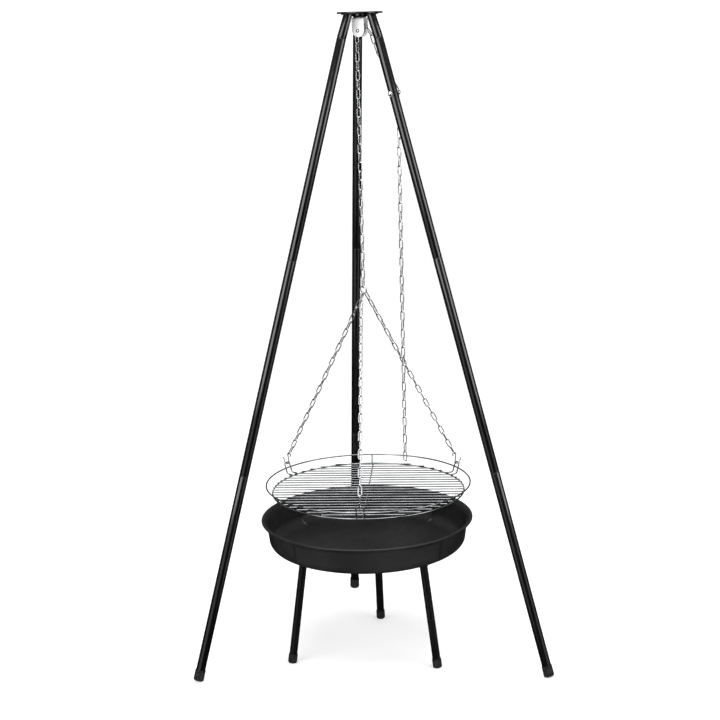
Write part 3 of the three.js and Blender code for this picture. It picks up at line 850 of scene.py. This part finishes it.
def lean_out(z):
    """How far from the axis the hangers and struts are at a height."""
    share = (z - lower_height()) / (hanger_height() - lower_height())
    return LEAN_RADIUS + share * (HANGER_RADIUS - LEAN_RADIUS)


def hanger_foot():
    """(radius, height) pairs of a foot lying on the bars and its bend up to the leg."""
    on_bars = lower_height() + RING_WIRE + BAR_WIRE + 0.2
    middle = lean_out(on_bars + FOOT_BEND) - FOOT_BEND
    turns = [math.radians(a) for a in range(0, 91, 15)]
    bend = [(middle + FOOT_BEND * math.sin(a), on_bars + FOOT_BEND * (1 - math.cos(a))) for a in turns]
    return [(FOOT_END, on_bars), *bend]


def add_hanger(name, azimuth):
    """A U of wire welded to the upper ring, its feet turned in over the lower ring."""
    half = HANGER_WIDTH / 2
    shoulder = hanger_height() - HANGER_BEND
    turns = [math.radians(a) for a in range(0, 91, 15)]

    def leg(hand):
        foot = [grate_point(azimuth, out, hand * half, z) for out, z in hanger_foot()]
        corner = []
        for a in turns:
            side = hand * (half - HANGER_BEND + HANGER_BEND * math.cos(a))
            z = shoulder + HANGER_BEND * math.sin(a)
            corner.append(grate_point(azimuth, lean_out(z), side, z))
        return [*foot, *corner]

    shape = sweep([*leg(1), *leg(-1)[::-1]], RING_WIRE / 2, 18)
    make_piece(f"grate_hanger_{name}_fine", shape, "chrome_wire", "grate", [f"grate_hanger_{name}"])


def add_strut(name, azimuth):
    """A short leaning wire from the lower ring to the upper one."""
    low, high = lower_height() - 1, upper_height() + 1
    heights = [low + (high - low) * s for s in (0, 0.5, 1)]
    path = [grate_point(azimuth, lean_out(z), 0, z) for z in heights]
    shape = sweep(path, RING_WIRE / 2, 18)
    make_piece(f"grate_strut_{name}_fine", shape, "chrome_wire", "grate", [f"grate_strut_{name}"])


def curl_centres():
    """The centres of an S-hook's two curls: (distance out, height)."""
    _, high = box_of("s_hook_front")
    lower = (HANGER_RADIUS, hanger_height() + LOWER_CURL - HOOK_SEAT)
    shank_top = HANGER_RADIUS - LOWER_CURL + HOOK_LEAN
    upper = (shank_top - UPPER_CURL, high.z - HOOK_WIRE / 2 - UPPER_CURL)
    return lower, upper


def add_s_hook(name, azimuth):
    """A wire bent into two curls, the lower one hooked under the hanger."""
    (low_out, low_z), (high_out, high_z) = curl_centres()
    outward = polar(1, azimuth)
    lower = arc(grate_point(azimuth, low_out, 0, low_z), outward, UP, LOWER_CURL, -15, -180, 14)
    upper = arc(grate_point(azimuth, high_out, 0, high_z), outward, UP, UPPER_CURL, 0, 250, 16)
    tip = grate_point(azimuth, low_out + LOWER_CURL + HOOK_TIP_OUT, 0, low_z + HOOK_TIP_RISE)
    shape = sweep(spline([tip, *lower, *upper], 1.2), HOOK_WIRE / 2, 16)
    make_piece(f"s_hook_{name}_fine", shape, "zinc", "grate", [f"s_hook_{name}"])


def add_sling(name, azimuth, along_ring):
    """A chain from the hub ring's lower side to an S-hook's upper curl."""
    hub = middle_of("hub_ring")
    touching = (HUB_WIRE + LINK_WIRE) / 2
    drop = math.sqrt(HUB_RADIUS**2 - along_ring**2)
    start = hub + RUN_AXIS * along_ring - UP * (drop - touching)
    _, (out, z) = curl_centres()
    end = grate_point(azimuth, out, 0, z + UPPER_CURL - (HOOK_WIRE + LINK_WIRE) / 2)
    along = (end - start).normalized()
    inset = along * (LINK_WIRE / 2)
    sideways = polar(1, azimuth + 90)
    shape = chain_shape(even_points(start + inset, end - inset), RUN_AXIS, along.cross(sideways))
    make_piece(f"sling_{name}_fine", shape, "zinc", "grate", [f"sling_{name}"])


# ---- Fire bowl --------------------------------------------------------------
def wall_angles():
    """Even steps round the bowl, with close ones at each crease."""
    angles = {i * 2.5 for i in range(144)}
    for crease in CREASES:
        angles -= {crease + d for d in (-2.5, 0, 2.5)}
        angles |= {crease + hand * d for d in (CREASE_FLAT, CREASE_SIDE, 1.7) for hand in (-1, 1)}
        angles.add(crease)
    return sorted(angles)


def bowl_profile():
    """(radius, height) pairs of the pressed sheet, round a closed section."""
    low, high = box_of("bowl_pan")
    rim, floor = high.z, low.z
    corner_top, corner_low = rim - BOWL_CORNER, floor + DISH
    across, drop = WALL_BOTTOM - FLOOR_RADIUS, corner_top - corner_low
    turns = quarter(14)
    corner = [(FLOOR_RADIUS + across * math.sin(a), corner_top - drop * math.cos(a)) for a in turns]
    inner_corner = [(r - SHEET * math.sin(a), z + SHEET * math.cos(a)) for (r, z), a in zip(corner, turns)]
    lift, wall_height = WALL_TOP - WALL_BOTTOM, rim - 4 - corner_top
    wall = [(WALL_BOTTOM + lift * s, corner_top + wall_height * s) for s in (0.22, 0.3, 0.6, 0.75, 0.82)]
    inner_wall = [(r - SHEET, z) for r, z in reversed(wall)]
    floor_rings = [(r, floor + DISH * (r / FLOOR_RADIUS) ** 2) for r in (40, 90, 140, 180)]
    under = [(0, floor), *floor_rings]
    over = [(r, z + SHEET) for r, z in reversed(floor_rings)] + [(0, floor + SHEET)]
    return [*under, *corner, *wall, *rim_profile(rim), *inner_wall, *inner_corner[::-1], *over]


def rim_profile(rim):
    """The flare at the wall's top, the rolled bead round it, and the slope back inside."""
    flare = [(WALL_TOP + 1.5, rim - 8.2), (WALL_TOP + 4.5, rim - 5)]
    centre_out, centre_z = RIM_RADIUS - BEAD, rim - BEAD
    roll = [(centre_out + BEAD * math.cos(a), centre_z + BEAD * math.sin(a))
            for a in np.linspace(-2.6, math.pi / 2, 14)]
    inside = [(WALL_TOP + 6.5, rim), (WALL_TOP + 4, rim - 1.2),
              (WALL_TOP + 2, rim - 4), (WALL_TOP - 0.3, rim - 7.6)]
    return [*flare, *roll, *inside]


def crease_depth(azimuth, z, rim):
    """How far a pressed line pushes the wall in, from below the rim down round the corner."""
    nearest = min(abs((azimuth - c + 180) % 360 - 180) for c in CREASES)
    share = (CREASE_SIDE - nearest) / (CREASE_SIDE - CREASE_FLAT)
    if z > rim - CREASE_TOP:
        return 0.0
    return CREASE_DEPTH * min(max(share, 0.0), 1.0)


def add_bowl_pan():
    """The pan turned from its profile, its wall pushed in at the pressed lines."""
    _, high = box_of("bowl_pan")
    centre = Vector((BOWL_CENTRE.x, BOWL_CENTRE.y, 0))
    angles = wall_angles()
    sides = len(angles)
    verts, rings = [], []
    for radius, z in bowl_profile():
        if radius == 0:
            rings.append([len(verts)] * sides)
            verts.append(centre + UP * z)
            continue
        rings.append(range(len(verts), len(verts) + sides))
        pressed = radius > FLOOR_RADIUS + 4
        for azimuth in angles:
            depth = crease_depth(azimuth, z, high.z) if pressed else 0
            verts.append(centre + polar(radius - depth, azimuth, z))
    shape = verts, faces_between(rings, sides)
    make_piece("bowl_pan_fine", shape, "bowl_paint", "bowl", ["bowl_pan"])


def add_bowl_leg(name):
    """A tube with the socket above and the foot below."""
    leg = f"bowl_leg_{name}"
    point, down = line_of(leg)
    start, end = reach_along(leg, point, down)
    top = [(BOWL_LEG_BORE, start), *rounded(BOWL_LEG_RADIUS, EDGE, start, -1)[1:]]
    bottom = [*rounded(BOWL_LEG_RADIUS, EDGE, end, 1), (BOWL_LEG_BORE, end)]
    shape = lathe([*top, *bottom], point, down, closed=True)
    make_piece(f"{leg}_fine", shape, "bowl_leg_paint", "bowl", [leg])
    add_bowl_socket(f"bowl_socket_{name}", point, down, start)
    add_foot(f"bowl_foot_{name}", point, down, "bowl")


def add_bowl_socket(socket, point, down, leg_start):
    """A cup welded under the pan, cut off level with it."""
    pan_bottom = box_of(socket)[1].z
    _, end = reach_along(socket, point, down)
    top, seat = leg_start - BOWL_CUP_DEPTH, leg_start - 2
    outside = [(0, top), (BOWL_CUP_RADIUS, top), *rounded(BOWL_CUP_RADIUS, 0.8, end, 1)]
    inside = [(BORE, end), (BORE, seat), (0, seat)]
    verts, faces = lathe([*outside, *inside], point, down, 48)
    for v in verts:
        v.z = min(v.z, pan_bottom)
    make_piece(f"{socket}_fine", (verts, faces), "bowl_leg_paint", "bowl", [socket])


# ---- Building ---------------------------------------------------------------
def build():
    plate_bottom = add_head_plate()
    for name in LEG_NAMES:
        add_leg(name, plate_bottom)
    add_bracket()
    add_pin()
    add_roller()
    add_hanger_bolt(plate_bottom)
    add_head_boss()
    add_hook_bolt()
    add_dome_nut()
    add_chains()
    add_rings()
    add_bars()
    for step, (name, along_ring) in zip(THIRDS, SLINGS.items()):
        azimuth = SLING_TURN + step
        add_hanger(name, azimuth)
        add_s_hook(name, azimuth)
        add_sling(name, azimuth, along_ring)
    for step, name in zip(THIRDS, STRUTS):
        add_strut(name, STRUT_TURN + step)
    add_bowl_pan()
    for name in BOWL_LEGS:
        add_bowl_leg(name)


# ---- Stage ------------------------------------------------------------------
def white(name, glow):
    """A stage surface that stays white in the light and in its own soft shadows."""
    material, shader = new_look(name, specular=0.0)
    shader.inputs["Roughness"].default_value = 1.0
    shader.inputs["Emission Strength"].default_value = glow
    shader.inputs["Emission Color"].default_value = (1, 1, 1, 1)
    tone = ramp(material, add_noise(material, 0.4), 0.78, 0.8)
    material.node_tree.links.new(tone, shader.inputs["Base Color"])
    return material


def add_studio():
    """A white floor that sweeps up into a wall all round, left out of reflections."""
    floor_radius, bend, wall_top = 12000, 3000, 14000
    curve = [(floor_radius + bend * math.sin(a), bend * (1 - math.cos(a))) for a in quarter(12)]
    verts, faces = lathe([(0, 0), *curve, (floor_radius + bend, wall_top)], Vector((0, 0, 0)), UP, 96)
    mesh = bpy.data.meshes.new("studio")
    mesh.from_pydata([v / MM for v in verts], [], faces)
    mesh.materials.append(white("studio_floor", 0.36))
    mesh.materials.append(white("studio_wall", 0.42))
    for polygon in mesh.polygons:
        on_floor = all(mesh.vertices[i].co.z < 1 / MM for i in polygon.vertices)
        polygon.material_index = 0 if on_floor else 1
    mesh.shade_smooth()
    studio = bpy.data.objects.new("studio", mesh)
    studio.visible_glossy = False
    studio.visible_shadow = False
    bpy.context.scene.collection.objects.link(studio)


def add_light(name, kind, place, aim, watts):
    """A lamp at a place, in metres, turned to face another."""
    light = bpy.data.lights.new(name, kind)
    light.energy = watts
    holder = bpy.data.objects.new(name, light)
    holder.location = place
    holder.rotation_euler = (Vector(aim) - Vector(place)).to_track_quat("-Z", "Y").to_euler()
    bpy.context.scene.collection.objects.link(holder)
    return holder


def add_soft_box(name, azimuth, distance, height, size, radiance):
    """A box of light at an azimuth round the head, facing it level."""
    light_place = polar(distance, azimuth, height)
    width, tall = size
    watts = 4 * radiance * width * tall
    holder = add_light(name, "AREA", light_place, (0, 0, height), watts)
    holder.data.shape = "RECTANGLE"
    holder.data.size = width
    holder.data.size_y = tall


def add_lights():
    """Boxes that draw the lines on the tubes, their bounce off the floor, one overhead, and a wash."""
    distance = 3.0
    for name, azimuth, width in (("left", 270 - 43, 2.6), ("right", 270 + 60, 2.0)):
        add_soft_box(f"{name}_box", azimuth, distance, height=1.85, size=(width, 1.9), radiance=2.0)
        add_soft_box(f"{name}_bounce", azimuth, distance, height=-0.2, size=(width, 2.2), radiance=0.35)
    overhead = add_light("overhead_box", "AREA", (0, -0.6, 3.4), (0, 0, 0), 75)
    overhead.data.size = 2.5
    wash = add_light("wash", "SUN", (0.5, -1.5, 4), (0, 0, 0), 0.5)
    wash.data.angle = math.radians(60)
    wash.visible_glossy = False


def add_world():
    """What the reflections see round the lights: a dim room, a little lighter overhead."""
    world = bpy.data.worlds.new("studio")
    world.use_nodes = True
    bpy.context.scene.world = world
    nodes, links = world.node_tree.nodes, world.node_tree.links
    coords = nodes.new("ShaderNodeTexCoord")
    split = nodes.new("ShaderNodeSeparateXYZ")
    shade = nodes.new("ShaderNodeValToRGB")
    elements = shade.color_ramp.elements
    elements[0].position = 0.0
    elements[0].color = (0.015, 0.015, 0.015, 1)
    elements[1].position = 0.7
    elements[1].color = (0.25, 0.25, 0.255, 1)
    links.new(coords.outputs["Generated"], split.inputs["Vector"])
    links.new(split.outputs["Z"], shade.inputs["Fac"])
    links.new(shade.outputs["Color"], nodes["Background"].inputs["Color"])
    nodes["Background"].inputs["Strength"].default_value = 1.0


def add_camera():
    """At the height of the head, looking a little down from the front."""
    distance, height, lens = 3634.4, 1499.5, 77.03
    yaw, pitch, roll = 0.313, -12.099, -1.483
    data = bpy.data.cameras.new("camera")
    data.sensor_width = 36
    data.lens = lens
    data.clip_end = 200
    camera = bpy.data.objects.new("camera", data)
    place = Vector((PIN_CENTRE.x, PIN_CENTRE.y - distance, height)) / MM
    turn = (Matrix.Rotation(math.radians(yaw), 4, "Z") @ Matrix.Rotation(math.radians(90 + pitch), 4, "X")
            @ Matrix.Rotation(math.radians(roll), 4, "Z"))
    camera.matrix_world = Matrix.Translation(place) @ turn
    bpy.context.scene.collection.objects.link(camera)
    bpy.context.scene.camera = camera


build()
add_studio()
add_world()
add_lights()
add_camera()
bpy.context.scene.view_settings.view_transform = "Standard"
